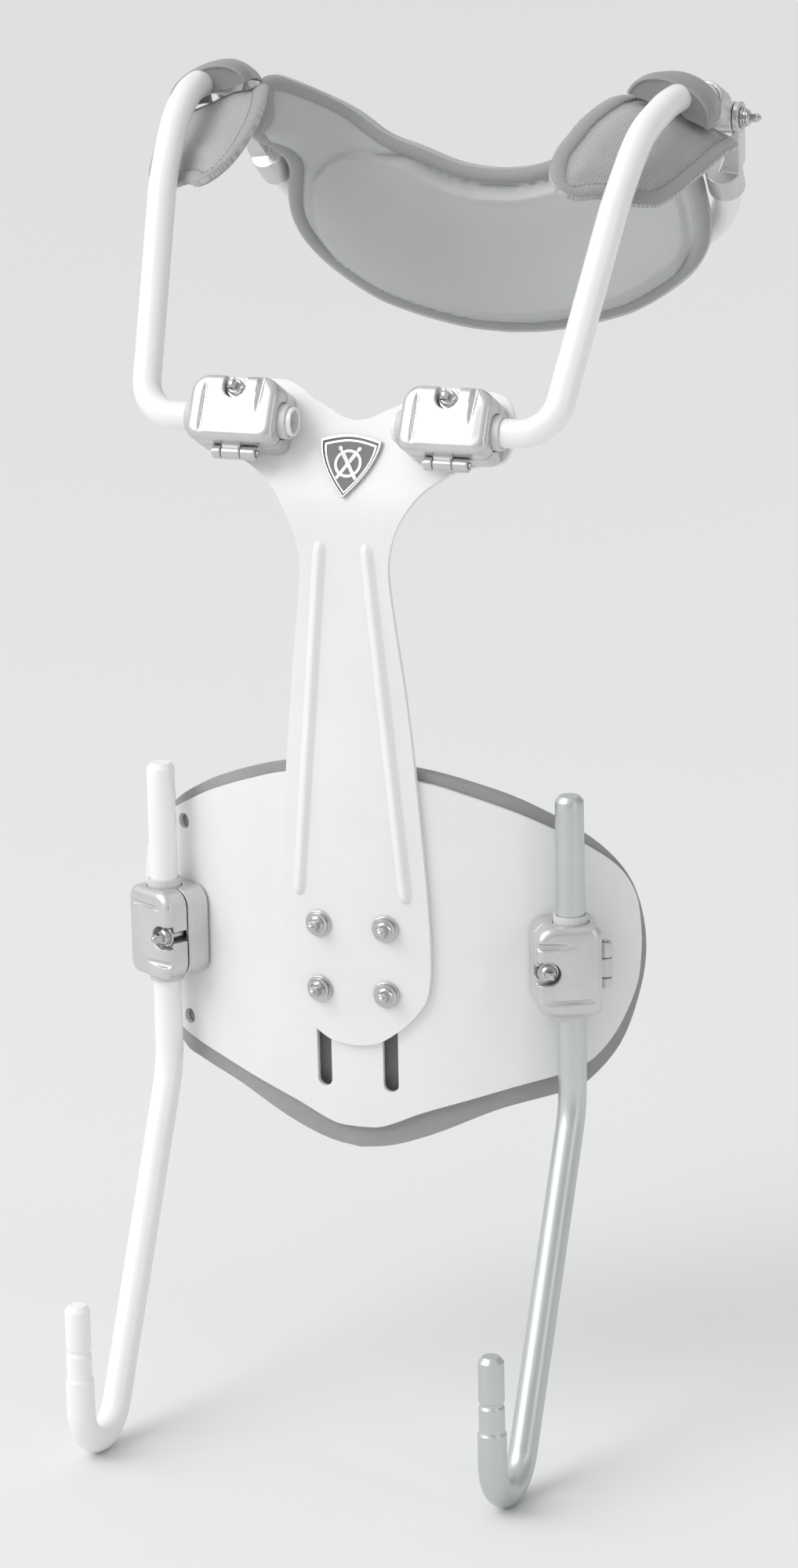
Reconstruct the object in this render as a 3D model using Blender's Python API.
"""Marching drum carrier: belly plate, Y-shaped spine, hook rods, shoulder bars and back pad.

Frame: +Z up, -Y towards the drum (front), +Y towards the wearer's back, X across the body.
The origin is midway between the two places where the shoulder pads rest on the shoulders.
Lengths are written in millimetres and turned into metres as each mesh is made.
"""
import math

import bmesh
import bpy
from mathutils import Matrix, Vector
from mathutils.geometry import delaunay_2d_cdt

MM = 0.001
GAP = 0.3                       # clearance between pieces that touch
SIDES = 12                      # facets round a rod or a bar

# ---- hook rods -----------------------------------------------------------------------
ROD_RADIUS = 7.95
ROD_X = 122.0
ROD_Y = -135.0
ROD_TOP_Z = -345.0
ROD_KINK_DROP = 178.5           # rod top to the corner where it starts to lean forward
ROD_KINK_RADIUS = 55.0
ROD_LEAN = math.radians(27.0)
HOOK_RADIUS = 25.0
HOOK_REACH = 134.5              # rod axis to the axis of the upturned tip
TIP_TOP_DROP = 276.5            # rod top to the top of the upturned tip
TIP_RADIUS = 7.1
TIP_STEP_DROP = 319.0
TIP_GROOVE_DROP = 303.0
GROOVE_WIDTH = 2.0
GROOVE_DEPTH = 0.9

# ---- belly plate and its pad ---------------------------------------------------------
BELLY_RADIUS = 240.0            # plan radius of the plate's front face
BELLY_FRONT_Y = -151.0          # front face on the centre line
BELLY_THICK = 3.0
PAD_THICK = 12.0
SLOT_X = 19.9
SLOT_HALF_WIDTH = 4.4
SLOT_TOP_Z = -403.0
SLOT_BOTTOM_Z = -521.0
SIDE_HOLE_RADIUS = 4.5
SIDE_HOLE_X = 114.5
SIDE_HOLE_Z = (-382.0, -497.5)

# ---- spine ---------------------------------------------------------------------------
SPINE_THICK = 3.2
SPINE_FRONT_Y = BELLY_FRONT_Y - GAP - SPINE_THICK
SPINE_BEND_Z = -189.0           # corner where the head starts to lean back
SPINE_BEND_RADIUS = 50.0
HEAD_LEAN = math.radians(27.0)
BOLT_ROWS_Z = (-424.8, -462.8)
RIB_RADIUS = 2.65
RIB_PROUD = 2.3

# ---- clamps: local x along the tube, y towards the hinge, z outward -------------------
CLAMP_HALF_LENGTH = 25.8
CLAMP_NOTCH_SIDE = -21.0
CLAMP_HINGE_SIDE = 15.5
BELLY_CLAMP_BACK = -14.7
UPPER_CLAMP_BACK = -14.1
CLAMP_FRONT = 15.0
CLAMP_SPLIT = 0.5
SLEEVE_OUTER = 9.7
SLEEVE_INNER = ROD_RADIUS + 0.35
SLEEVE_HALF_LENGTH = 29.6
CLAMP_BORE = SLEEVE_OUTER + 0.35
CLAMP_BOLT_Y = -14.4
RECESS_RADIUS = 6.5
RECESS_FLOOR = 9.5
HINGE_Y = 19.0
KNUCKLE_RADIUS = 4.0
PIN_RADIUS = 1.6
KNUCKLE_BREAKS = (-13.0, -4.0, 7.0, 12.5)
BELLY_CLAMP_SPLAY = math.radians(28.7)
BELLY_CLAMP_Z = -442.0
UPPER_CLAMP_X = 61.8
BAR_Y = -147.5                  # axis that the shoulder bars turn on
BAR_Z = -143.5

# ---- shoulder bars, caps and pads -----------------------------------------------------
BAR_RADIUS = 7.95
BAR_BORE = 6.4
BAR_END_X = 29.3
BAR_ELBOW_RADIUS = 22.0
BAR_RUN_FOOT = (118.9, -147.5, -143.5)
BAR_RUN_TOP = (131.8, -88.8, -39.9)
BAR_CREST = ((133.9, -78.6, -24.0), (137.5, -53.7, 2.8), (141.0, -29.3, 14.7), (142.8, -11.0, 18.8),
             (143.5, 12.0, 19.4), (143.5, 34.0, 15.8), (143.5, 54.0, 8.7))
CAP_CENTRE_X = 137.3
CAP_WALL = 2.2
CAP_POWER = 2.15                # roundness of its section; 2 is an ellipse
CAP_SECTIONS = ((-6.0, 25.4, 17.4, 12.0), (6.0, 25.2, 18.3, 12.4), (21.0, 21.0, 18.0, 12.0),
                (36.0, 18.0, 15.6, 9.4))      # place along the bar, half width, height, height of its base
SHOULDER_TILT = math.radians(22.0)
PAD_CENTRE_X = 135.0
PAD_LINE = ((-98.0, -41.5), (-90.0, -39.5), (-80.0, -36.5), (-69.0, -31.6), (-53.0, -21.5), (-35.0, -12.0),
            (-20.0, -4.8), (-10.0, 0.0), (0.0, 3.8), (12.0, 5.4), (24.0, 4.0), (36.0, 0.0))
PAD_SLOPE = 0.42                # fall of the pad across the shoulder
PAD_OUTLINE = ((104.0, 2.0), (100.5, -8.0), (96.5, -20.5), (93.5, -35.0), (91.6, -53.0), (91.3, -62.0),
               (92.4, -71.0), (95.3, -80.0), (100.0, -86.0), (106.5, -87.5), (113.0, -84.0), (117.8, -77.2),
               (124.5, -70.8), (134.0, -67.6), (142.0, -63.5), (150.0, -58.0), (157.0, -46.0), (162.0, -30.0),
               (166.5, -14.0), (169.5, 0.0), (171.0, 13.0), (167.0, 24.0), (157.0, 29.5), (140.0, 31.0),
               (122.0, 28.0), (110.0, 17.0))
SHOULDER_PAD_THICK = 10.4

# ---- rear hinge, rear bar and back pad -------------------------------------------------
REAR_HINGE_Y = 73.0
REAR_HINGE_Z = -1.0
BARREL_RADIUS = 9.0
BARREL_X = (135.5, 151.3)
REAR_BAR_HALF = ((139.8, 88.5, -35.0), (138.6, 95.6, -41.6), (136.6, 102.8, -48.6), (133.8, 110.0, -55.5),
                 (127.5, 117.8, -65.0), (115.0, 123.0, -76.0), (94.0, 125.3, -86.0), (66.0, 126.0, -93.0),
                 (33.0, 126.0, -97.0), (0.0, 126.0, -98.0))
BACK_FRONT_Y = 92.0             # front of the pad's rim at its upper middle
BACK_TOP_Z = -38.0
BACK_LEAN = 0.143               # run backward per length downward
BACK_WRAP = 7.5                 # how far the upper sides come forward
HORN_REACH = 30.0               # how far the horns come forward over the shoulders
BACK_PAD_THICK = 12.0
BACK_PLATE_THICK = 2.0
PLATE_GAP = 0.8
BACK_BENDS_Z = (-127, -118, -109, -100, -91, -82, -73, -64, -55, -47, -40, -35, -30, -25, -20, -15, -10, 0, 9)
BACK_BENDS_X = (0, 22, 44, 66, 84, 92, 99, 106, 113, 120, 128, 137, 146)


def new_object(name, bm, colour=None, smooth=35.0):
    """Turn a bmesh into a named object; smooth is the angle below which edges are shaded round."""
    bmesh.ops.recalc_face_normals(bm, faces=bm.faces)
    mesh = bpy.data.meshes.new(name)
    bm.to_mesh(mesh)
    bm.free()
    mesh.shade_smooth()
    mesh.set_sharp_from_angle(angle=math.radians(smooth))
    obj = bpy.data.objects.new(name, mesh)
    bpy.context.collection.objects.link(obj)
    if colour is not None:
        obj.data.materials.append(material(*colour))
    return obj


def material(name, rgb, roughness, metallic):
    """A Principled material, made once for each name."""
    found = bpy.data.materials.get(name)
    if found is not None:
        return found
    made = bpy.data.materials.new(name)
    made.use_nodes = True
    shader = made.node_tree.nodes["Principled BSDF"]
    shader.inputs["Base Color"].default_value = (*rgb, 1.0)
    shader.inputs["Roughness"].default_value = roughness
    shader.inputs["Metallic"].default_value = metallic
    return made


SHEET = ("white_satin_sheet", (0.86, 0.86, 0.87), 0.35, 0.3)
CASTING = ("polished_casting", (0.78, 0.78, 0.79), 0.22, 0.9)
STEEL = ("plated_steel", (0.72, 0.72, 0.73), 0.2, 1.0)
ROD_BRIGHT = ("pale_rod", (0.84, 0.84, 0.85), 0.3, 0.6)
ROD_GREY = ("grey_rod", (0.55, 0.56, 0.57), 0.28, 1.0)
BAR_WHITE = ("pale_bar", (0.86, 0.86, 0.87), 0.3, 0.3)
FOAM = ("grey_foam", (0.3, 0.3, 0.31), 0.9, 0.0)
FABRIC = ("grey_fabric", (0.33, 0.33, 0.35), 0.9, 0.0)
PLASTIC = ("grey_plastic", (0.3, 0.3, 0.32), 0.5, 0.0)
SLEEVE = ("pale_nylon", (0.75, 0.75, 0.76), 0.5, 0.0)
EMBLEM = ("emblem_enamel", (0.28, 0.29, 0.31), 0.35, 0.3)


def boolean(obj, other, operation):
    """Cut, join or intersect obj with other, then remove other."""
    modifier = obj.modifiers.new("shape", 'BOOLEAN')
    modifier.operation = operation
    modifier.solver = 'EXACT'
    modifier.object = other
    bpy.context.view_layer.update()
    graph = bpy.context.evaluated_depsgraph_get()
    mesh = bpy.data.meshes.new_from_object(obj.evaluated_get(graph))
    obj.modifiers.remove(modifier)
    obj.data = mesh
    bpy.data.objects.remove(other)
    return obj


def cut(obj, other):
    return boolean(obj, other, 'DIFFERENCE')


def add(obj, other):
    return boolean(obj, other, 'UNION')


def cylinder(start, end, radius, sides=SIDES, name="tool", colour=None, end_radius=None):
    """A closed cylinder or cone between two points given in millimetres."""
    a = Vector(start) * MM
    b = Vector(end) * MM
    turn = (b - a).to_track_quat('Z', 'X').to_matrix().to_4x4()
    place = Matrix.Translation((a + b) / 2) @ turn
    bm = bmesh.new()
    bmesh.ops.create_cone(bm, cap_ends=True, segments=sides, radius1=radius * MM,
                          radius2=(radius if end_radius is None else end_radius) * MM,
                          depth=(b - a).length, matrix=place)
    return new_object(name, bm, colour)


def box(low, high, name="tool", colour=None):
    """A closed box between two corners given in millimetres."""
    lo = Vector(low) * MM
    hi = Vector(high) * MM
    bm = bmesh.new()
    place = Matrix.Translation((lo + hi) / 2) @ Matrix.Diagonal((*(hi - lo), 1.0))
    bmesh.ops.create_cube(bm, size=1.0, matrix=place)
    return new_object(name, bm, colour)


def ring(bm, centre, axis_u, axis_v, radius, sides):
    """One ring of vertices round a point."""
    out = []
    for i in range(sides):
        angle = 2 * math.pi * i / sides
        out.append(bm.verts.new((centre + axis_u * (radius * math.cos(angle))
                                 + axis_v * (radius * math.sin(angle))) * MM))
    return out


def swept_tube(name, path, radii, sides=SIDES, colour=None):
    """A closed tube along a path; its section is carried along the path without twisting."""
    points = [Vector(p) for p in path]
    tangents = []
    for i in range(len(points)):
        before = points[max(i - 1, 0)]
        after = points[min(i + 1, len(points) - 1)]
        tangents.append((after - before).normalized())
    side = tangents[0].cross(Vector((0.31, 0.17, 0.94))).normalized()
    bm = bmesh.new()
    rings = []
    for point, tangent, radius in zip(points, tangents, radii):
        side = (side - tangent * side.dot(tangent)).normalized()
        rings.append(ring(bm, point, side, tangent.cross(side), radius, sides))
    for first, second in zip(rings, rings[1:]):
        for i in range(sides):
            j = (i + 1) % sides
            bm.faces.new((first[i], first[j], second[j], second[i]))
    bm.faces.new(list(reversed(rings[0])))
    bm.faces.new(rings[-1])
    return new_object(name, bm, colour, 40.0)


def arc_between(corner, before, after, radius, steps):
    """Points of a fillet arc that rounds the corner between two straight runs."""
    c, a, b = Vector(corner), Vector(before), Vector(after)
    u = (a - c).normalized()
    v = (b - c).normalized()
    half = math.acos(max(-1.0, min(1.0, u.dot(v)))) / 2
    tangent_length = radius / math.tan(half)
    centre = c + (u + v).normalized() * (radius / math.sin(half))
    start = c + u * tangent_length - centre
    end = c + v * tangent_length - centre
    total = start.angle(end)
    out = []
    for i in range(steps + 1):
        t = i / steps
        weight_a = math.sin((1 - t) * total) / math.sin(total)
        weight_b = math.sin(t * total) / math.sin(total)
        out.append(centre + start * weight_a + end * weight_b)
    return out


def smooth_line(points, per_span):
    """A Catmull-Rom curve through 2-D or 3-D points, without the last point."""
    pts = [Vector(p) for p in points]
    pts = [pts[0] * 2 - pts[1]] + pts + [pts[-1] * 2 - pts[-2]]
    out = []
    for i in range(1, len(pts) - 2):
        a, b, c, d = pts[i - 1], pts[i], pts[i + 1], pts[i + 2]
        for k in range(per_span):
            t = k / per_span
            out.append((b * 2 + (c - a) * t + (a * 2 - b * 5 + c * 4 - d) * t * t
                        + (b * 3 - a - c * 3 + d) * t ** 3) / 2)
    return out


def mirrored_outline(half, per_span):
    """A closed outline from its right half, which runs from the top centre to the bottom centre."""
    right = [tuple(p) for p in smooth_line(half, per_span)] + [tuple(half[-1])]
    left = [(-x, z) for x, z in reversed(right[1:-1])]
    return right + left


def circle(cx, cz, radius, sides=12):
    return [(cx + radius * math.cos(2 * math.pi * i / sides), cz + radius * math.sin(2 * math.pi * i / sides))
            for i in range(sides)]


def slot(cx, top, bottom, half_width, sides=6):
    """A closed vertical slot with round ends."""
    out = []
    for i in range(sides + 1):
        angle = math.pi * i / sides
        out.append((cx + half_width * math.cos(angle), top - half_width + half_width * math.sin(angle)))
    for i in range(sides + 1):
        angle = math.pi + math.pi * i / sides
        out.append((cx + half_width * math.cos(angle), bottom + half_width + half_width * math.sin(angle)))
    return out


def inside(loop, x, z):
    """Whether a point lies inside a closed loop."""
    found = False
    for (ax, az), (bx, bz) in zip(loop, loop[1:] + loop[:1]):
        if (az > z) != (bz > z) and x < (bx - ax) * (z - az) / (bz - az) + ax:
            found = not found
    return found


def flat_plate(loops, front, back, ridges=()):
    """A closed plate in the XZ plane, the first loop its outline and the others its holes; its
    faces also follow the loops in ridges, so that an area inside one can be raised."""
    drawn = list(loops) + list(ridges)
    corners = [Vector(point) for loop in drawn for point in loop]
    edges = []
    for loop in drawn:
        first = len(edges)
        edges += [(first + i, first + (i + 1) % len(loop)) for i in range(len(loop))]
    points, _, triangles, _, _, _ = delaunay_2d_cdt(corners, edges, [], 1, 1e-6)
    bm = bmesh.new()
    layers = [[bm.verts.new((p.x, depth, p.y)) for p in points] for depth in (front, back)]
    for triangle in triangles:
        middle = sum((points[i] for i in triangle), Vector((0.0, 0.0))) / 3
        if inside(loops[0], *middle) and not any(inside(hole, *middle) for hole in loops[1:]):
            bm.faces.new([layers[0][i] for i in triangle])
            bm.faces.new([layers[1][i] for i in reversed(triangle)])
    pair = dict(zip(layers[0], layers[1]))
    rim = [edge for edge in bm.edges if len(edge.link_faces) == 1 and edge.verts[0] in pair]
    for edge in rim:
        a, b = edge.verts
        bm.faces.new((a, b, pair[b], pair[a]))
    bmesh.ops.delete(bm, geom=[v for v in bm.verts if not v.link_faces], context='VERTS')
    bmesh.ops.recalc_face_normals(bm, faces=bm.faces)
    return bm


def slice_plate(bm, positions, normal):
    """Cut a plate's faces along parallel planes so that it can be bent smoothly."""
    for position in positions:
        point = Vector(normal) * position
        bmesh.ops.bisect_plane(bm, geom=bm.verts[:] + bm.edges[:] + bm.faces[:], dist=1e-5,
                               plane_co=point, plane_no=normal)


def bend_plate(name, bm, place, colour, smooth=30.0):
    """Move every vertex (across, depth, height) to its place in space."""
    for vert in bm.verts:
        vert.co = Vector(place(*vert.co)) * MM
    bmesh.ops.triangulate(bm, faces=[f for f in bm.faces if len(f.verts) > 4])
    return new_object(name, bm, colour, smooth)


def to_arc(x):
    """Arc length along the belly plate's front face for a point x from the centre."""
    return BELLY_RADIUS * math.asin(x / BELLY_RADIUS)


def belly_place(s, depth, z):
    """A point of the belly plate: s along its curve, depth behind its front face."""
    angle = s / BELLY_RADIUS
    radius = BELLY_RADIUS - depth
    return (radius * math.sin(angle), BELLY_FRONT_Y + BELLY_RADIUS - radius * math.cos(angle), z)


PLATE_HALF = ((0.0, -336.5), (40.0, -341.0), (67.0, -349.0), (91.0, -358.5), (109.0, -368.0), (125.0, -378.0),
              (140.0, -391.5), (148.0, -408.0), (150.3, -427.0), (150.2, -444.0), (147.9, -462.0),
              (139.7, -484.0), (130.0, -498.5), (121.0, -505.5), (109.0, -510.0), (89.0, -515.5),
              (64.0, -523.4), (38.0, -532.0), (15.0, -541.5), (0.0, -543.0))
PAD_HALF = ((0.0, -332.0), (43.0, -336.5), (82.0, -348.0), (108.0, -361.0), (124.0, -372.0), (139.0, -387.0),
            (149.0, -407.0), (153.5, -435.0), (151.0, -463.0), (141.0, -495.0), (123.0, -517.0),
            (108.0, -522.0), (79.0, -530.0), (45.0, -544.5), (20.0, -553.0), (0.0, -556.0))
BEND_LINES = [to_arc(x) for x in (-140, -120, -100, -80, -60, -40, -20, 0, 20, 40, 60, 80, 100, 120, 140)]


def belly_outline(half, per_span):
    return [(to_arc(x), z) for x, z in mirrored_outline(half, per_span)]


def make_belly_plate():
    loops = [belly_outline(PLATE_HALF, 2)]
    for side in (-1, 1):
        loops.append(slot(to_arc(side * SLOT_X), SLOT_TOP_Z, SLOT_BOTTOM_Z, SLOT_HALF_WIDTH))
        for z in SIDE_HOLE_Z:
            loops.append(circle(to_arc(side * SIDE_HOLE_X), z, SIDE_HOLE_RADIUS))
        for point, _ in clamp_screw_points(side):
            loops.append(circle(to_arc(point.x), point.z, 2.6, 8))
    bm = flat_plate(loops, 0.0, BELLY_THICK)
    slice_plate(bm, BEND_LINES, (1, 0, 0))
    return bend_plate("belly_plate", bm, belly_place, SHEET)


def make_belly_pad():
    """Foam pad behind the plate, with channels for the slide nuts and pits for the screw heads."""
    front = BELLY_THICK + GAP
    bm = flat_plate([belly_outline(PAD_HALF, 1)], front, front + PAD_THICK)
    slice_plate(bm, BEND_LINES[1:-1:2], (1, 0, 0))
    pad = bend_plate("belly_pad", bm, belly_place, FOAM)
    for side in (-1, 1):
        x, y, _ = belly_place(to_arc(side * SLOT_X), front, 0.0)
        cut(pad, box((x - 9.0, y - 4.0, SLOT_BOTTOM_Z - 6.0), (x + 9.0, y + 6.4, SLOT_TOP_Z + 6.0)))
        for point, normal in clamp_screw_points(side):
            cut(pad, cylinder(point - normal * 2.0, point - normal * 7.5, 5.0, 8))
    return pad


def spine_place(x, depth, height):
    """A point of the spine: height runs up the sheet, depth behind its front face."""
    arc_length = SPINE_BEND_RADIUS * HEAD_LEAN
    start = SPINE_BEND_Z - SPINE_BEND_RADIUS * math.tan(HEAD_LEAN / 2)
    fade = min(1.0, max(0.0, (-215.0 - height) / 90.0))
    dish = fade * fade * (3 - 2 * fade) * (BELLY_RADIUS - math.sqrt(BELLY_RADIUS ** 2 - x * x))
    depth = depth + dish
    along = height - start
    if along <= 0:
        return (x, SPINE_FRONT_Y + depth, height)
    angle = min(along, arc_length) / SPINE_BEND_RADIUS
    run = max(0.0, along - arc_length)
    y = SPINE_FRONT_Y + SPINE_BEND_RADIUS * (1 - math.cos(angle)) + run * math.sin(angle) + depth * math.cos(angle)
    z = start + SPINE_BEND_RADIUS * math.sin(angle) + run * math.cos(angle) - depth * math.sin(angle)
    return (x, y, z)


SPINE_HALF = ((0.0, -139.0), (8.0, -137.2), (17.0, -132.5), (27.0, -127.5), (38.0, -120.5), (48.0, -118.0),
              (78.0, -119.5), (88.0, -126.0), (91.5, -136.0), (91.5, -150.0), (87.5, -158.0), (74.0, -161.0),
              (62.0, -165.0), (53.0, -170.5), (44.0, -178.0), (36.5, -188.5), (31.0, -199.0), (27.2, -211.0),
              (26.0, -225.0), (28.5, -249.0), (33.4, -288.0), (37.4, -327.0), (40.6, -366.0), (43.5, -405.0),
              (44.9, -440.0), (43.2, -462.0), (37.0, -473.5), (27.0, -483.5), (14.0, -491.8), (0.0, -494.0))
RIB_TOP = (13.4, -208.0)
RIB_BOTTOM = (32.0, -409.0)


def make_spine():
    loops = [mirrored_outline(SPINE_HALF, 1)]
    for side in (-1, 1):
        for z in BOLT_ROWS_Z:
            loops.append(circle(side * SLOT_X, z, 3.0, 8))
        for point in upper_screw_points(side):
            loops.append(circle(point[0], point[1], 2.6, 8))
    bm = flat_plate(loops, 0.0, SPINE_THICK)
    slice_plate(bm, (-60, -45, -30, -15, 0, 15, 30, 45, 60), (1, 0, 0))
    slice_plate(bm, (-400, -340, -290, -250, -201, -197, -192, -187, -182, -177), (0, 0, 1))
    spine = bend_plate("spine_plate", bm, spine_place, SHEET)
    for side in (-1, 1):
        path = []
        radii = []
        for i in range(15):
            t = i / 14
            x = RIB_TOP[0] + (RIB_BOTTOM[0] - RIB_TOP[0]) * t
            z = RIB_TOP[1] + (RIB_BOTTOM[1] - RIB_TOP[1]) * t
            path.append(spine_place(side * x, RIB_RADIUS - RIB_PROUD, z))
            radii.append(RIB_RADIUS * min(1.0, 0.45 + 1.2 * math.sin(math.pi * t) ** 0.5))
        add(spine, swept_tube("rib", path, radii, 12))
    return spine


def make_badge():
    """A plain shield with a raised rim and a raised chevron; it stands on the spine's head."""
    def shield(scale):
        cx, cz = 0.0, -169.0
        out = []
        for t in (0.0, 0.25, 0.5, 0.75):
            out.append((-17.9 + 35.8 * t, -150.6 + 3.4 * math.sin(math.pi * t)))
        for t in (0.0, 0.2, 0.4, 0.6, 0.8):
            out.append((17.9 * (1 - t ** 1.7), -150.6 - 32.4 * t))
        out.append((0.0, -183.6))
        for t in (0.8, 0.6, 0.4, 0.2):
            out.append((-17.9 * (1 - t ** 1.7), -150.6 - 32.4 * t))
        return [(cx + (x - cx) * scale, cz + (z - cz) * scale) for x, z in out]

    proud = GAP + 0.1
    bm = flat_plate([shield(1.0)], -proud - 2.0, -proud)
    badge = bend_plate("badge", bm, head_place, EMBLEM)
    cut(badge, bend_plate("tool", flat_plate([shield(0.86)], -9.0, -proud - 1.3), head_place, None))
    chevron = [(-10.0, -161.0), (0.0, -168.5), (10.0, -161.0), (10.0, -166.5), (0.0, -174.0), (-10.0, -166.5)]
    add(badge, bend_plate("tool", flat_plate([chevron], -proud - 1.9, -proud - 1.0), head_place, None))
    return badge


def head_place(x, depth, height):
    """The flat plane of the spine's head, carried on downwards without the bend."""
    base = Vector(spine_place(0.0, 0.0, -150.0))
    up = Vector((0.0, math.sin(HEAD_LEAN), math.cos(HEAD_LEAN)))
    inward = Vector((0.0, math.cos(HEAD_LEAN), -math.sin(HEAD_LEAN)))
    return Vector((x, 0.0, 0.0)) + base + up * (height + 150.0) + inward * depth


def spine_bolt_frames():
    """Centre and outward direction of each bolt that holds the spine on the belly plate."""
    out = []
    for side in (-1, 1):
        for z in BOLT_ROWS_Z:
            angle = math.asin(side * SLOT_X / BELLY_RADIUS)
            out.append((Vector(spine_place(side * SLOT_X, 0.0, z)), Vector((math.sin(angle), -math.cos(angle), 0.0))))
    return out


def key_head(base, axis, flange, square, height):
    """A key-operated screw head: a flange with a square driving end."""
    body = cylinder(base, base + axis * 1.6, flange, 12)
    add(body, cylinder(base + axis * 1.0, base + axis * (height - 1.2), square / math.sqrt(2), 4))
    return add(body, cylinder(base + axis * (height - 1.3), base + axis * height, square / math.sqrt(2), 4,
                              end_radius=square / math.sqrt(2) - 1.0))


def make_spine_fasteners():
    """Four key bolts with captive washers, and the two slide nuts that they draw up behind the plate."""
    names = ("left_spine_bolt_upper", "left_spine_bolt_lower", "right_spine_bolt_upper", "right_spine_bolt_lower")
    for name, (centre, out) in zip(names, spine_bolt_frames()):
        bolt = key_head(centre + out * 3.0, out, 4.4, 4.6, 11.0)
        add(bolt, cylinder(centre + out * 0.5, centre + out * 1.7, 7.5, 16))
        add(bolt, cylinder(centre + out * 1.5, centre + out * 3.2, 5.6, 16))
        add(bolt, cylinder(centre + out * 3.6, centre - out * 11.0, 2.4, 10))
        bolt.name = name
        bolt.data.materials.append(material(*STEEL))
        finish_casting(bolt)
    for side, name in ((-1, "left"), (1, "right")):
        angle = math.asin(side * SLOT_X / BELLY_RADIUS)
        out = Vector((math.sin(angle), -math.cos(angle), 0.0))
        along = Vector((out.y, -out.x, 0.0))
        middle = Vector(spine_place(side * SLOT_X, 0.0, sum(BOLT_ROWS_Z) / 2))
        place = Matrix((along, Vector((0, 0, 1)), -out)).transposed().to_4x4()
        place.translation = middle * MM
        behind = SPINE_THICK + GAP + BELLY_THICK + GAP
        bar = box((-6.5, -29.0, behind), (6.5, 29.0, behind + 3.2), name + "_slide_nut", STEEL)
        bar.data.transform(place)
        for z in BOLT_ROWS_Z:
            centre = Vector(spine_place(side * SLOT_X, 0.0, z))
            cut(bar, cylinder(centre, centre - out * 14.0, 2.75, 10))


def rounded_block(u_half, v_low, v_high, w_low, w_high, notch_radius, hinge_radius, crown, name, colour):
    """Clamp half: a rounded rectangle extruded outward, with its outer edge rounded by crown."""
    outline = []
    corners = ((u_half, v_high, hinge_radius, 0.0), (-u_half, v_high, hinge_radius, 0.5),
               (-u_half, v_low, notch_radius, 1.0), (u_half, v_low, notch_radius, 1.5))
    for cu, cv, radius, start in corners:
        centre_u = cu - math.copysign(radius, cu)
        centre_v = cv - math.copysign(radius, cv)
        for i in range(4):
            angle = math.pi * (start + 0.5 * i / 3)
            outline.append((centre_u + radius * math.cos(angle), centre_v + radius * math.sin(angle)))
    middle_v = (v_low + v_high) / 2
    levels = [(w_low, 0.0)]
    if crown > 0:
        for i in range(4):
            angle = math.pi / 2 * i / 3
            levels.append((w_high - crown + crown * math.sin(angle), crown * (1 - math.cos(angle))))
    else:
        levels.append((w_high, 0.0))
    bm = bmesh.new()
    rings = []
    for w, inset in levels:
        u_scale = (u_half - inset) / u_half
        v_scale = ((v_high - v_low) / 2 - inset) / ((v_high - v_low) / 2)
        rings.append([bm.verts.new(Vector((u * u_scale, middle_v + (v - middle_v) * v_scale, w)) * MM)
                      for u, v in outline])
    count = len(outline)
    for first, second in zip(rings, rings[1:]):
        for i in range(count):
            j = (i + 1) % count
            bm.faces.new((first[i], first[j], second[j], second[i]))
    bm.faces.new(list(reversed(rings[0])))
    bm.faces.new(rings[-1])
    return new_object(name, bm, colour, 28.0)


def knuckle(u_low, u_high, radius, name="tool"):
    return cylinder((u_low, HINGE_Y, 0.0), (u_high, HINGE_Y, 0.0), radius, 12, name)


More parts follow.
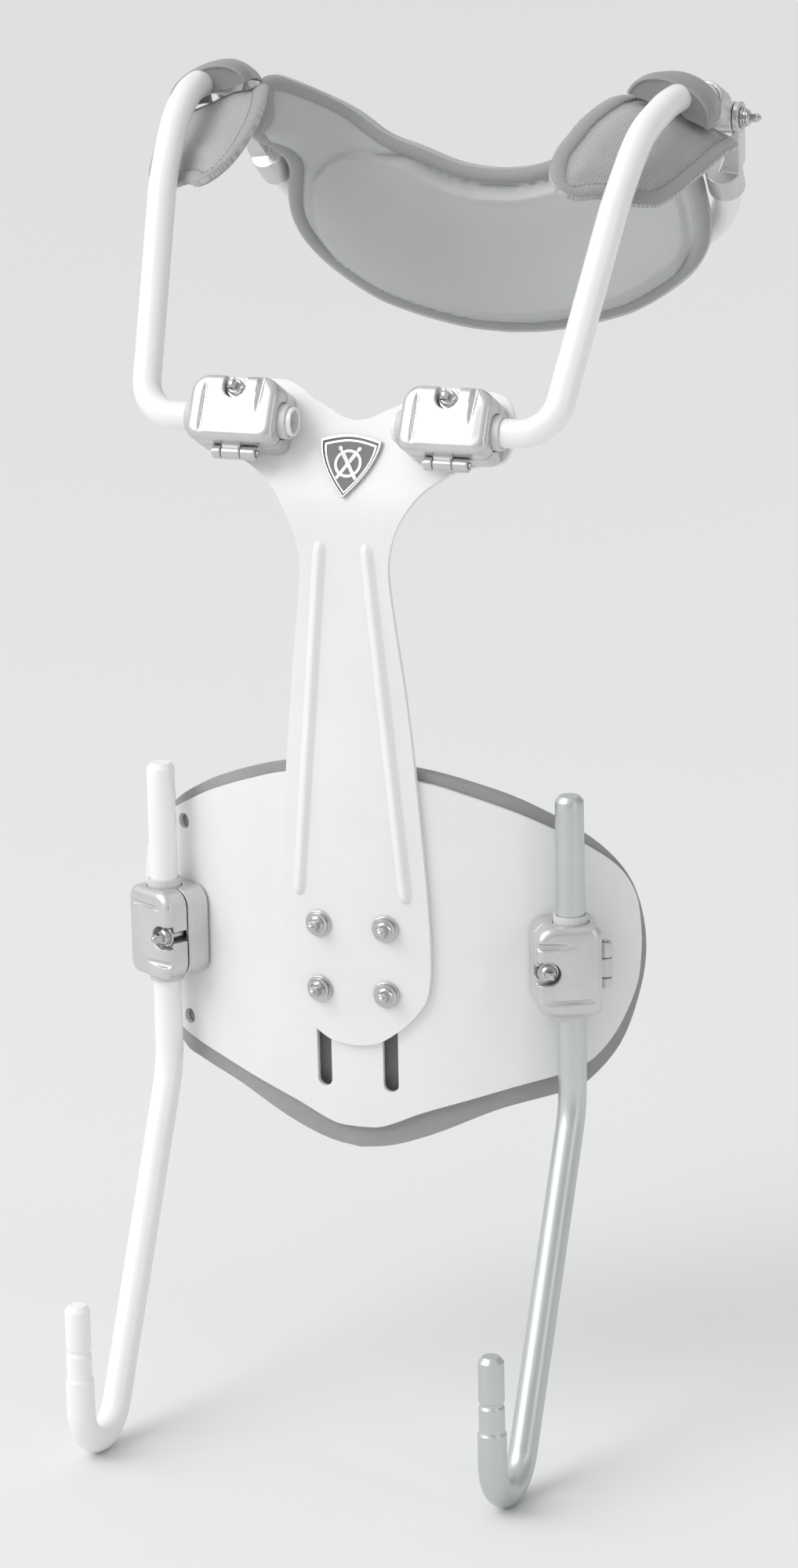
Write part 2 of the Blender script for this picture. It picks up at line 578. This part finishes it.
def make_clamp(prefix, place, depth, screws):
    """One hinged tube clamp. place carries its local frame (millimetres) into the carrier's frame."""
    a, b, c, d = KNUCKLE_BREAKS
    base = rounded_block(CLAMP_HALF_LENGTH, CLAMP_NOTCH_SIDE, CLAMP_HINGE_SIDE, depth, -CLAMP_SPLIT,
                         9.0, 4.0, 0.0, prefix + "_base", CASTING)
    jaw = rounded_block(CLAMP_HALF_LENGTH, CLAMP_NOTCH_SIDE, CLAMP_HINGE_SIDE, CLAMP_SPLIT, CLAMP_FRONT,
                        9.0, 4.0, 3.6, prefix + "_jaw", CASTING)
    # hinge knuckles: two on the base, one on the jaw between them
    for low, high in ((a, b - GAP), (c + GAP, d)):
        cut(jaw, knuckle(low - GAP, high + GAP, KNUCKLE_RADIUS + 0.4))
        add(base, box((low, 12.0, -KNUCKLE_RADIUS + 0.2), (high, HINGE_Y, -CLAMP_SPLIT - 0.1)))
        add(base, knuckle(low, high, KNUCKLE_RADIUS))
    cut(base, knuckle(b - GAP, c + GAP, KNUCKLE_RADIUS + 0.4))
    add(jaw, box((b, 12.0, CLAMP_SPLIT + 0.1), (c, HINGE_Y, KNUCKLE_RADIUS - 0.2)))
    add(jaw, knuckle(b, c, KNUCKLE_RADIUS))
    for half in (base, jaw):
        cut(half, cylinder((-40, 0, 0), (40, 0, 0), CLAMP_BORE, 24))
        cut(half, knuckle(a - 5.0, d + 5.0, PIN_RADIUS + 0.3))
    # threaded pocket in the base, lengthened so that the screw swings clear with the jaw
    for offset in (0.0, -1.3):
        cut(base, cylinder((0, CLAMP_BOLT_Y + offset, -9.5), (0, CLAMP_BOLT_Y + offset, 5.0), 2.9, 10))
    for u, v in screws:
        cut(base, cylinder((u, v, depth - 2.0), (u, v, depth + 3.6), 2.4, 8))
    # open notch and recess for the key bolt in the jaw
    for radius, floor in ((3.2, -2.0), (RECESS_RADIUS, RECESS_FLOOR)):
        cut(jaw, cylinder((0, CLAMP_BOLT_Y, floor), (0, CLAMP_BOLT_Y, 30.0), radius, 16))
        cut(jaw, box((-radius, -40.0, floor), (radius, CLAMP_BOLT_Y, 30.0)))
    for u in (-18.5, 18.5):
        cut(jaw, box((u - 0.7, -12.0, CLAMP_FRONT - 0.7), (u + 0.7, 9.0, CLAMP_FRONT + 2.0)))
    pin = cylinder((a - 1.0, HINGE_Y, 0.0), (d + 1.0, HINGE_Y, 0.0), PIN_RADIUS, 10, prefix + "_pin", STEEL)
    out = Vector((0, 0, 1))
    foot = Vector((0, CLAMP_BOLT_Y, RECESS_FLOOR + GAP))
    bolt = key_head(foot + out * 1.6, out, 4.4, 5.0, 11.0)
    add(bolt, cylinder(foot, foot + out * 1.9, 5.9, 16))
    add(bolt, cylinder(foot + out * 1.6, (0, CLAMP_BOLT_Y, -7.0), 2.4, 10))
    bolt.name = prefix + "_bolt"
    bolt.data.materials.append(material(*STEEL))
    sleeve = cylinder((-SLEEVE_HALF_LENGTH, 0, 0), (SLEEVE_HALF_LENGTH, 0, 0), SLEEVE_OUTER, 20,
                      prefix + "_sleeve", SLEEVE)
    cut(sleeve, cylinder((-40, 0, 0), (40, 0, 0), SLEEVE_INNER, 20))
    for piece in (base, jaw, pin, bolt, sleeve):
        piece.data.transform(place)
        finish_casting(piece)


def finish_casting(obj):
    obj.data.shade_smooth()
    obj.data.set_sharp_from_angle(angle=math.radians(28.0))


def clamp_matrix(origin, along, out):
    """Local x runs along the tube, z outward, and y completes the frame towards the hinge."""
    x = Vector(along).normalized()
    z = Vector(out).normalized()
    y = z.cross(x)
    place = Matrix((x, y, z)).transposed().to_4x4()
    place.translation = Vector(origin) * MM
    return place


def belly_clamp_out(side):
    return Vector((side * math.sin(BELLY_CLAMP_SPLAY), -math.cos(BELLY_CLAMP_SPLAY), 0.0))


def belly_clamp_matrix(side):
    """The hinge faces outward on both sides, so the tube direction flips with the side."""
    return clamp_matrix((side * ROD_X, ROD_Y, BELLY_CLAMP_Z), (0, 0, -side), belly_clamp_out(side))


BELLY_SCREWS = ((-19.0, -3.0), (19.0, -3.0))


def clamp_screw_points(side):
    """Where the screws of a belly clamp leave the plate's front face, with the outward direction."""
    place = belly_clamp_matrix(side)
    out = belly_clamp_out(side)
    points = []
    for u, v in BELLY_SCREWS:
        back = place @ (Vector((u, v, BELLY_CLAMP_BACK)) * MM) / MM
        angle = math.asin(back.x / BELLY_RADIUS)
        face = BELLY_FRONT_Y + BELLY_RADIUS * (1 - math.cos(angle))
        points.append((Vector((back.x, face, back.z)), out))
    return points


UPPER_SCREWS = ((-19.0, -2.0), (19.0, -2.0))


def upper_clamp_out():
    return Vector((0.0, -math.cos(HEAD_LEAN), math.sin(HEAD_LEAN)))


def upper_clamp_matrix(side):
    """The hinge faces down on both sides."""
    return clamp_matrix((side * UPPER_CLAMP_X, BAR_Y, BAR_Z), (-1, 0, 0), upper_clamp_out())


def upper_screw_points(side):
    """Screw holes of an upper clamp on the spine sheet, as across and height."""
    place = upper_clamp_matrix(side)
    up = Vector((0.0, math.sin(HEAD_LEAN), math.cos(HEAD_LEAN)))
    base = head_place(0.0, 0.0, -150.0)
    points = []
    for u, v in UPPER_SCREWS:
        back = place @ (Vector((u, v, UPPER_CLAMP_BACK)) * MM) / MM
        points.append((back.x, (back - base).dot(up) - 150.0))
    return points


def make_clamp_screws():
    """Screws from behind that hold each clamp base on its plate."""
    for side, label in ((-1, "left"), (1, "right")):
        for spot, (point, out) in zip(("a", "b"), clamp_screw_points(side)):
            name = label + "_belly_clamp_screw_" + spot
            head = cylinder(point - out * (BELLY_THICK + 0.9), point - out * (BELLY_THICK + 2.9), 3.9, 10, name, STEEL)
            add(head, cylinder(point - out * 4.5, point + out * 2.6, 1.9, 8))
            finish_casting(head)
        out = upper_clamp_out()
        for spot, (x, height) in zip(("a", "b"), upper_screw_points(side)):
            name = label + "_upper_clamp_screw_" + spot
            point = head_place(x, 0.0, height)
            back = point - out * (SPINE_THICK + GAP)
            head = cylinder(back, back - out * 2.0, 3.9, 10, name, STEEL)
            add(head, cylinder(back - out * 1.0, point + out * 3.0, 1.9, 8))
            finish_casting(head)


def rod_path():
    """Centre line of a hook rod in its own plane as (forward, up, radius), from the top down."""
    kink = Vector((0.0, -ROD_KINK_DROP))
    down = Vector((math.sin(ROD_LEAN), -math.cos(ROD_LEAN)))
    normal = Vector((math.cos(ROD_LEAN), math.sin(ROD_LEAN)))
    centre_forward = HOOK_REACH - HOOK_RADIUS
    along = (HOOK_RADIUS - normal.x * centre_forward) / normal.y
    centre = Vector((centre_forward, kink.y + along))
    path = [(0.0, 0.0, ROD_RADIUS - 2.0), (0.0, -1.0, ROD_RADIUS - 1.0), (0.0, -3.6, ROD_RADIUS)]
    for point in arc_between((0, -ROD_KINK_DROP, 0), (0, 0, 0), (*(kink + down * 100), 0), ROD_KINK_RADIUS, 5):
        path.append((point.x, point.y, ROD_RADIUS))
    start = math.pi + ROD_LEAN
    for i in range(13):
        angle = start + (2 * math.pi - start) * i / 12
        path.append((centre.x + HOOK_RADIUS * math.cos(angle), centre.y + HOOK_RADIUS * math.sin(angle), ROD_RADIUS))
    return path


def make_rod(side, name, colour):
    path = rod_path()
    tip = [(-TIP_STEP_DROP - 0.2, ROD_RADIUS), (-TIP_STEP_DROP + 0.5, TIP_RADIUS)]
    tip += [(-TIP_GROOVE_DROP - GROOVE_WIDTH / 2, TIP_RADIUS), (-TIP_GROOVE_DROP - 0.4, TIP_RADIUS - GROOVE_DEPTH),
            (-TIP_GROOVE_DROP + 0.4, TIP_RADIUS - GROOVE_DEPTH), (-TIP_GROOVE_DROP + GROOVE_WIDTH / 2, TIP_RADIUS)]
    tip += [(-TIP_TOP_DROP - 5.0, TIP_RADIUS), (-TIP_TOP_DROP - 1.6, TIP_RADIUS - 0.9), (-TIP_TOP_DROP, TIP_RADIUS - 2.1)]
    path += [(HOOK_REACH, up, radius) for up, radius in tip]
    points = [(side * ROD_X, ROD_Y - forward, ROD_TOP_Z + up) for forward, up, _ in path]
    return swept_tube(name, points, [radius for _, _, radius in path], SIDES, colour)


def bar_path():
    """Centre line of the right shoulder bar, from its inner end to the rear hinge."""
    foot = Vector(BAR_RUN_FOOT)
    top = Vector(BAR_RUN_TOP)
    path = [Vector((BAR_END_X, BAR_Y, BAR_Z))]
    path += arc_between(foot, path[0], top, BAR_ELBOW_RADIUS, 7)
    crest = [foot.lerp(top, 0.35), foot.lerp(top, 0.7), top] + [Vector(p) for p in BAR_CREST]
    path += smooth_line(crest, 2) + [crest[-1]]
    return path


def make_bar(side, name):
    points = [(side * p.x, p.y, p.z) for p in bar_path()]
    bar = swept_tube(name, points, [BAR_RADIUS] * len(points), SIDES, BAR_WHITE)
    return cut(bar, cylinder((side * (BAR_END_X - 5), BAR_Y, BAR_Z), (side * (BAR_END_X + 26), BAR_Y, BAR_Z), BAR_BORE))


def cap_section(side, y, half, height, base, drop):
    """One arch of the cap; drop carries its ends straight down below the base."""
    tilt = -SHOULDER_TILT
    outline = []
    for k in range(15):
        angle = math.pi * k / 14
        c, s = math.cos(angle), math.sin(angle)
        outline.append((half * math.copysign(abs(c) ** (2 / CAP_POWER), c), height * max(s, 0.0) ** (2 / CAP_POWER)))
    if drop:
        outline += [(-half, -drop), (half, -drop)]
    out = []
    for u, v in outline:
        x = CAP_CENTRE_X + u * math.cos(tilt) - v * math.sin(tilt)
        z = base + u * math.sin(tilt) + v * math.cos(tilt)
        out.append(Vector((side * x, y, z)) * MM)
    return out


def cap_solid(name, side, shrink, drop, shift):
    """A hood of arched sections on the shoulder pad."""
    bm = bmesh.new()
    rings = []
    for y, half, height, base in CAP_SECTIONS:
        section = cap_section(side, y + shift, half - shrink, height - shrink, base, drop)
        rings.append([bm.verts.new(p) for p in section])
    count = len(rings[0])
    for first, second in zip(rings, rings[1:]):
        for i in range(count):
            j = (i + 1) % count
            bm.faces.new((first[i], first[j], second[j], second[i]))
    bm.faces.new(rings[0])
    bm.faces.new(list(reversed(rings[-1])))
    bmesh.ops.triangulate(bm, faces=bm.faces)
    return new_object(name, bm, PLASTIC, 40.0)


def make_cap(side, name):
    """Plastic hood over the bar's crest, closed in front, open behind."""
    cap = cap_solid(name, side, 0.0, 0.0, 0.0)
    cut(cap, cap_solid("tool", side, CAP_WALL, 14.0, CAP_WALL + 0.8))
    path = bar_path()[-14:]
    return cut(cap, swept_tube("tool", [(side * p.x, p.y, p.z) for p in path], [BAR_RADIUS + 0.5] * len(path)))


def smoothstep(t):
    t = max(0.0, min(1.0, t))
    return t * t * (3.0 - 2.0 * t)


def pad_height(x, y):
    """Height of the shoulder pad's middle surface over a point of the plan."""
    line = PAD_LINE
    index = max(i for i in range(len(line) - 1) if line[i][0] <= y or i == 0)
    (y0, z0), (y1, z1) = line[index], line[index + 1]
    slope = PAD_SLOPE + 0.11 * smoothstep((-40.0 - y) / 35.0)
    return z0 + (z1 - z0) * (y - y0) / (y1 - y0) - slope * (x - PAD_CENTRE_X)


def pad_place(side):
    """Place of a point (across, depth, along) of the right or left shoulder pad."""
    def place(x, depth, y):
        step = 2.0
        fall_x = (pad_height(x + step, y) - pad_height(x - step, y)) / (2 * step)
        fall_y = (pad_height(x, y + step) - pad_height(x, y - step)) / (2 * step)
        spot = Vector((x, y, pad_height(x, y))) - Vector((-fall_x, -fall_y, 1.0)).normalized() * depth
        return (side * spot.x, spot.y, spot.z)
    return place


def make_shoulder_pad(side, name):
    """Shoulder pad: a rounded tongue whose tip turns in towards the chest, with thinner rims."""
    outline = [(p.x, p.y) for p in smooth_line(PAD_OUTLINE + PAD_OUTLINE[:1], 2)]
    middle = (132.0, -28.0)
    inner = [(middle[0] + (x - middle[0]) * 0.84, middle[1] + (y - middle[1]) * 0.90) for x, y in outline]
    half = SHOULDER_PAD_THICK / 2
    bm = flat_plate([outline], -half, half, (inner,))
    slice_plate(bm, (-83, -75, -67, -58, -49, -40, -31, -23, -15, -7, 1, 8, 15, 22), (0, 0, 1))
    for vert in bm.verts:
        if not inside(inner, middle[0] + (vert.co.x - middle[0]) * 0.999, middle[1] + (vert.co.z - middle[1]) * 0.999):
            vert.co.y *= 0.62
    return bend_plate(name, bm, pad_place(side), FABRIC, 50.0)


def back_place(x, depth, z):
    """A point of the back pad: it leans back going down, wraps the sides and bends its horns forward."""
    wrap = BACK_WRAP * smoothstep((z + 110.0) / 75.0) * (x / 130.0) ** 2
    horn = smoothstep((abs(x) - 80.0) / 50.0) * smoothstep((z + 42.0) / 30.0)
    front = BACK_FRONT_Y - BACK_LEAN * (z - BACK_TOP_Z) - wrap - HORN_REACH * horn
    thin = max(horn, smoothstep((abs(x) - 110.0) / 18.0))
    return (x, front + depth * (1.0 - 0.4 * thin), z)


BACK_HALF = ((0.0, -37.9), (14.0, -36.8), (28.0, -33.6), (47.0, -26.2), (65.4, -19.6), (81.0, -8.3), (97.4, 3.6),
             (111.3, 13.5), (120.0, 18.0), (127.0, 16.5), (130.4, 10.0), (130.8, 2.0), (131.5, -6.0),
             (135.5, -10.0), (138.0, -15.0), (136.0, -21.0), (131.5, -25.0), (128.3, -29.5), (127.0, -35.0),
             (127.8, -44.0),
             (129.0, -51.0), (130.0, -58.6), (130.0, -65.6), (128.9, -72.8), (125.1, -82.5), (118.4, -92.1),
             (110.0, -100.5), (100.6, -107.5), (92.0, -113.2), (83.5, -118.0), (74.0, -122.2), (56.0, -127.8),
             (36.0, -132.4), (20.0, -134.9), (0.0, -136.0))
PANEL_HALF = ((0.0, -56.2), (15.0, -55.3), (34.4, -51.0), (49.0, -44.6), (61.0, -38.0), (74.0, -34.5), (88.0, -33.5),
              (100.0, -37.0), (108.0, -45.0), (112.0, -55.0), (113.2, -65.0), (113.0, -76.0), (110.4, -83.3),
              (106.8, -90.2), (102.0, -96.6), (96.0, -102.0), (87.5, -107.5), (78.0, -112.5), (65.0, -118.0),
              (48.0, -123.4), (29.0, -128.2), (0.0, -130.4))


def panel_rise(x, z):
    """How far the raised panel stands in front of the pad's rim."""
    flat = 89.0 - 0.125 * (z + 56.2) + 1.5 * (x / 113.0) ** 2
    return max(1.0, back_place(x, 0.0, z)[1] - flat)


def make_back():
    panel = mirrored_outline(PANEL_HALF, 1)
    foot = [(x * 1.02, -82.0 + (z + 82.0) * (1.16 if z > -82.0 else 1.03)) for x, z in panel]
    bm = flat_plate([mirrored_outline(BACK_HALF, 1)], 0.0, BACK_PAD_THICK, (panel, foot))
    slice_plate(bm, BACK_BENDS_Z, (0, 0, 1))
    slice_plate(bm, sorted({way * x for x in BACK_BENDS_X for way in (-1, 1)}), (1, 0, 0))
    for vert in bm.verts:
        x, depth, z = vert.co
        if depth < 1.0 and inside(panel, x * 0.999, -82.0 + (z + 82.0) * 0.999):
            vert.co.y -= panel_rise(x, z)
    bend_plate("back_pad", bm, back_place, FABRIC, 40.0)
    plate_half = ((0.0, -48.0), (40.0, -46.0), (75.0, -44.5), (96.0, -44.5), (106.0, -50.0), (109.0, -62.0),
                  (105.0, -80.0), (89.0, -101.0), (62.0, -117.0), (35.0, -123.5), (0.0, -126.5))
    front = BACK_PAD_THICK + PLATE_GAP
    loops = [mirrored_outline(plate_half, 1)]
    for x, z in clip_screw_points():
        loops.append(circle(x, z, 2.1, 8))
    bm = flat_plate(loops, front, front + BACK_PLATE_THICK)
    slice_plate(bm, BACK_BENDS_Z, (0, 0, 1))
    slice_plate(bm, sorted({way * x for x in BACK_BENDS_X for way in (-1, 1)}), (1, 0, 0))
    bend_plate("back_plate", bm, back_place, PLASTIC, 40.0)


def rear_bar_half():
    return smooth_line(REAR_BAR_HALF, 2) + [Vector(REAR_BAR_HALF[-1])]


def clip_bar_point(side):
    """Where a clip holds the rear bar: the middle of the straight run beside the wearer's spine."""
    high, low = rear_bar_half()[-5:-3]
    point = high.lerp(low, 0.5)
    direction = (low - high).normalized()
    return Vector((side * point.x, point.y, point.z)), Vector((side * direction.x, direction.y, direction.z)) * side


def clip_frame(side):
    """Frame of a clip: its floor lies on the back plate just above the bar, its x axis along the bar."""
    point, along = clip_bar_point(side)
    depth = BACK_PAD_THICK + PLATE_GAP + BACK_PLATE_THICK

    def plate_back(x, z):
        return Vector(back_place(x, depth, z))

    middle = point + Vector((0.0, 0.0, 8.0))
    u = plate_back(middle.x + 4.0, middle.z) - plate_back(middle.x - 4.0, middle.z)
    v = plate_back(middle.x, middle.z + 4.0) - plate_back(middle.x, middle.z - 4.0)
    out = v.cross(u).normalized()
    if out.y < 0:
        out = -out
    along = (along - out * along.dot(out)).normalized()
    ear = out.cross(along).normalized()
    if ear.z < 0:
        ear = -ear
    place = Matrix((ear.cross(out), ear, out)).transposed().to_4x4()
    place.translation = point * MM
    floor = (plate_back(middle.x, middle.z) - point).dot(out) + GAP + 0.2
    return place, floor


CLIP_SCREW = 14.5


def clip_screw_points():
    """Each clip has one screw, above the bar."""
    out = []
    for side in (-1, 1):
        place, floor = clip_frame(side)
        spot = place @ (Vector((0.0, CLIP_SCREW, floor - 1.0)) * MM) / MM
        out.append((spot.x, spot.z))
    return out


def make_clips():
    """Clips that wrap the rear bar and screw to the back plate with one ear."""
    for side, label in ((-1, "left"), (1, "right")):
        place, floor = clip_frame(side)
        clip = box((-7.0, 0.0, floor), (7.0, 19.5, floor + 2.4), label + "_bar_clip", CASTING)
        add(clip, cylinder((-7.0, 0, 0), (7.0, 0, 0), BAR_RADIUS + 2.6, 16))
        cut(clip, box((-20.0, -40.0, floor - 20.0), (20.0, 40.0, floor)))
        cut(clip, cylinder((-20.0, 0, 0), (20.0, 0, 0), BAR_RADIUS + 0.6, 16))
        cut(clip, cylinder((0, CLIP_SCREW, floor - 5.0), (0, CLIP_SCREW, floor + 9.0), 2.0, 8))
        screw = cylinder((0, CLIP_SCREW, floor + 2.4 + GAP), (0, CLIP_SCREW, floor + 4.8), 3.4, 10,
                         label + "_bar_clip_screw", STEEL)
        add(screw, cylinder((0, CLIP_SCREW, floor - 2.1), (0, CLIP_SCREW, floor + 3.2), 1.6, 8))
        for piece in (clip, screw):
            piece.data.transform(place)
            finish_casting(piece)


def make_rear_bar():
    right = [(p.x, p.y, p.z) for p in rear_bar_half()]
    left = [(-x, y, z) for x, y, z in reversed(right[:-1])]
    path = right + left
    return swept_tube("rear_bar", path, [BAR_RADIUS] * len(path), SIDES, BAR_WHITE)


def make_rear_joint(side, label):
    """The hinge behind a shoulder: a lug on the shoulder bar, a fork on the rear bar and a key bolt."""
    centre = Vector((0.0, REAR_HINGE_Y, REAR_HINGE_Z))
    x0, x1 = BARREL_X

    def at(x, offset=Vector((0, 0, 0))):
        return Vector((side * x, 0, 0)) + centre + offset

    end = bar_path()[-1]
    back = (end - bar_path()[-3]).normalized()
    grip = Vector((side * end.x, end.y, end.z))
    way = Vector((side * back.x, back.y, back.z))
    lug = cylinder(at(x0), at(x1), BARREL_RADIUS, 20, label + "_rear_lug", CASTING)
    add(lug, cylinder(grip + way * 2.0, grip + way * 16.0, 7.4, 16))
    add(lug, cylinder(grip - way * 13.0, grip + way * 4.0, 10.6, 16))
    add(lug, cylinder(grip + way * 3.9, grip + way * 7.0, 10.6, 16, end_radius=7.6))
    cut(lug, cylinder(grip - way * 14.0, grip + way * 0.6, BAR_RADIUS + 0.45, 16))
    cut(lug, cylinder(at(x0 - 9), at(x1 + 9), 3.0, 10))
    foot = Vector(REAR_BAR_HALF[0])
    down = (Vector(REAR_BAR_HALF[1]) - foot).normalized()
    foot = Vector((side * foot.x, foot.y, foot.z))
    down = Vector((side * down.x, down.y, down.z))
    fork = cylinder(foot - down * 5.0, foot + down * 13.0, 10.8, 16, label + "_rear_fork", CASTING)
    cheek = cylinder(at(x1 + 0.5), at(x1 + 4.0), BARREL_RADIUS, 20)
    add(fork, cheek)
    arm_top = at(x1 + 2.25)
    arm_end = foot + Vector((side * 8.0, 0, 4.0))
    add(fork, slab(arm_top, arm_end, side))
    cut(fork, cylinder(foot - down * 0.5, foot + down * 20.0, BAR_RADIUS + 0.45, 16))
    cut(fork, cylinder(at(x0 - 9), at(x1 + 9), 3.0, 10))
    clear = cylinder(at(x0 - 0.6), at(x1 + 0.35), BARREL_RADIUS + 1.2, 20)
    cut(fork, clear)
    axis = Vector((side, 0, 0))
    bolt = key_head(at(x1 + 4.0 + GAP), axis, 5.2, 5.0, 9.5)
    add(bolt, cylinder(at(x1 + 5.0), at(x0 + 1.0), 2.5, 10))
    bolt.name = label + "_rear_bolt"
    bolt.data.materials.append(material(*STEEL))
    for piece in (lug, fork, bolt):
        finish_casting(piece)


def slab(top, end, side):
    """The fork's arm: a plate from the hinge cheek down to the socket."""
    bm = bmesh.new()
    half = 1.75
    widths = ((top, 8.2, -half, half), (end, 7.0, -9.0, half + 1.2))
    rings = []
    for point, width, low, high in widths:
        ring_verts = []
        for dx, dy in ((low, -width), (high, -width), (high, width), (low, width)):
            ring_verts.append(bm.verts.new((point + Vector((side * dx, dy * 0.75, dy * 0.45))) * MM))
        rings.append(ring_verts)
    for i in range(4):
        j = (i + 1) % 4
        bm.faces.new((rings[0][i], rings[0][j], rings[1][j], rings[1][i]))
    bm.faces.new(list(reversed(rings[0])))
    bm.faces.new(rings[1])
    return new_object("tool", bm)


def set_origin(name, point):
    """Put a moving piece's origin on its joint's axis, its shape staying where it is."""
    obj = bpy.data.objects[name]
    origin = Vector(point) * MM
    obj.data.transform(Matrix.Translation(-origin))
    obj.location = origin


def clamp_axis(place, point):
    return place @ (Vector(point) * MM) / MM


def set_origins():
    """Origins of the moving pieces."""
    rear = (0.0, REAR_HINGE_Y, REAR_HINGE_Z)
    for name in ("belly_plate", "belly_pad"):
        set_origin(name, (0.0, BELLY_FRONT_Y, -443.8))
    for name in ("rear_bar", "back_plate", "back_pad"):
        set_origin(name, rear)
    frames = spine_bolt_frames()
    for side, label in ((-1, "left"), (1, "right")):
        belly = belly_clamp_matrix(side)
        upper = upper_clamp_matrix(side)
        first = 0 if side < 0 else 2
        rod = (side * ROD_X, ROD_Y, BELLY_CLAMP_Z)
        bar = (side * UPPER_CLAMP_X, BAR_Y, BAR_Z)
        hinge = (side * BARREL_X[1], REAR_HINGE_Y, REAR_HINGE_Z)
        set_origin(label + "_belly_clamp_jaw", clamp_axis(belly, (0.0, HINGE_Y, 0.0)))
        set_origin(label + "_upper_clamp_jaw", clamp_axis(upper, (0.0, HINGE_Y, 0.0)))
        set_origin(label + "_belly_clamp_bolt", clamp_axis(belly, (0.0, CLAMP_BOLT_Y, RECESS_FLOOR)))
        set_origin(label + "_upper_clamp_bolt", clamp_axis(upper, (0.0, CLAMP_BOLT_Y, RECESS_FLOOR)))
        for piece in ("belly_clamp_base", "belly_clamp_pin", "belly_clamp_screw_a", "belly_clamp_screw_b"):
            set_origin(label + "_" + piece, (0.0, BELLY_FRONT_Y, -443.8))
        for piece in ("belly_clamp_sleeve", "j_rod"):
            set_origin(label + "_" + piece, rod)
        set_origin(label + "_spine_bolt_upper", frames[first][0])
        set_origin(label + "_spine_bolt_lower", frames[first + 1][0])
        for piece in ("shoulder_bar", "shoulder_cap", "shoulder_pad", "rear_lug"):
            set_origin(label + "_" + piece, bar)
        for piece in ("rear_fork", "rear_bolt", "bar_clip", "bar_clip_screw"):
            set_origin(label + "_" + piece, hinge)


def main():
    for obj in list(bpy.data.objects):
        bpy.data.objects.remove(obj)
    make_belly_plate()
    make_belly_pad()
    make_spine()
    make_badge()
    make_spine_fasteners()
    make_clamp_screws()
    for side, label in ((-1, "left"), (1, "right")):
        make_clamp(label + "_belly_clamp", belly_clamp_matrix(side), BELLY_CLAMP_BACK, BELLY_SCREWS)
        make_clamp(label + "_upper_clamp", upper_clamp_matrix(side), UPPER_CLAMP_BACK, UPPER_SCREWS)
        make_rod(side, label + "_j_rod", ROD_BRIGHT if side < 0 else ROD_GREY)
        make_bar(side, label + "_shoulder_bar")
        make_cap(side, label + "_shoulder_cap")
        make_shoulder_pad(side, label + "_shoulder_pad")
        make_rear_joint(side, label)
    make_rear_bar()
    make_back()
    make_clips()
    set_origins()


main()
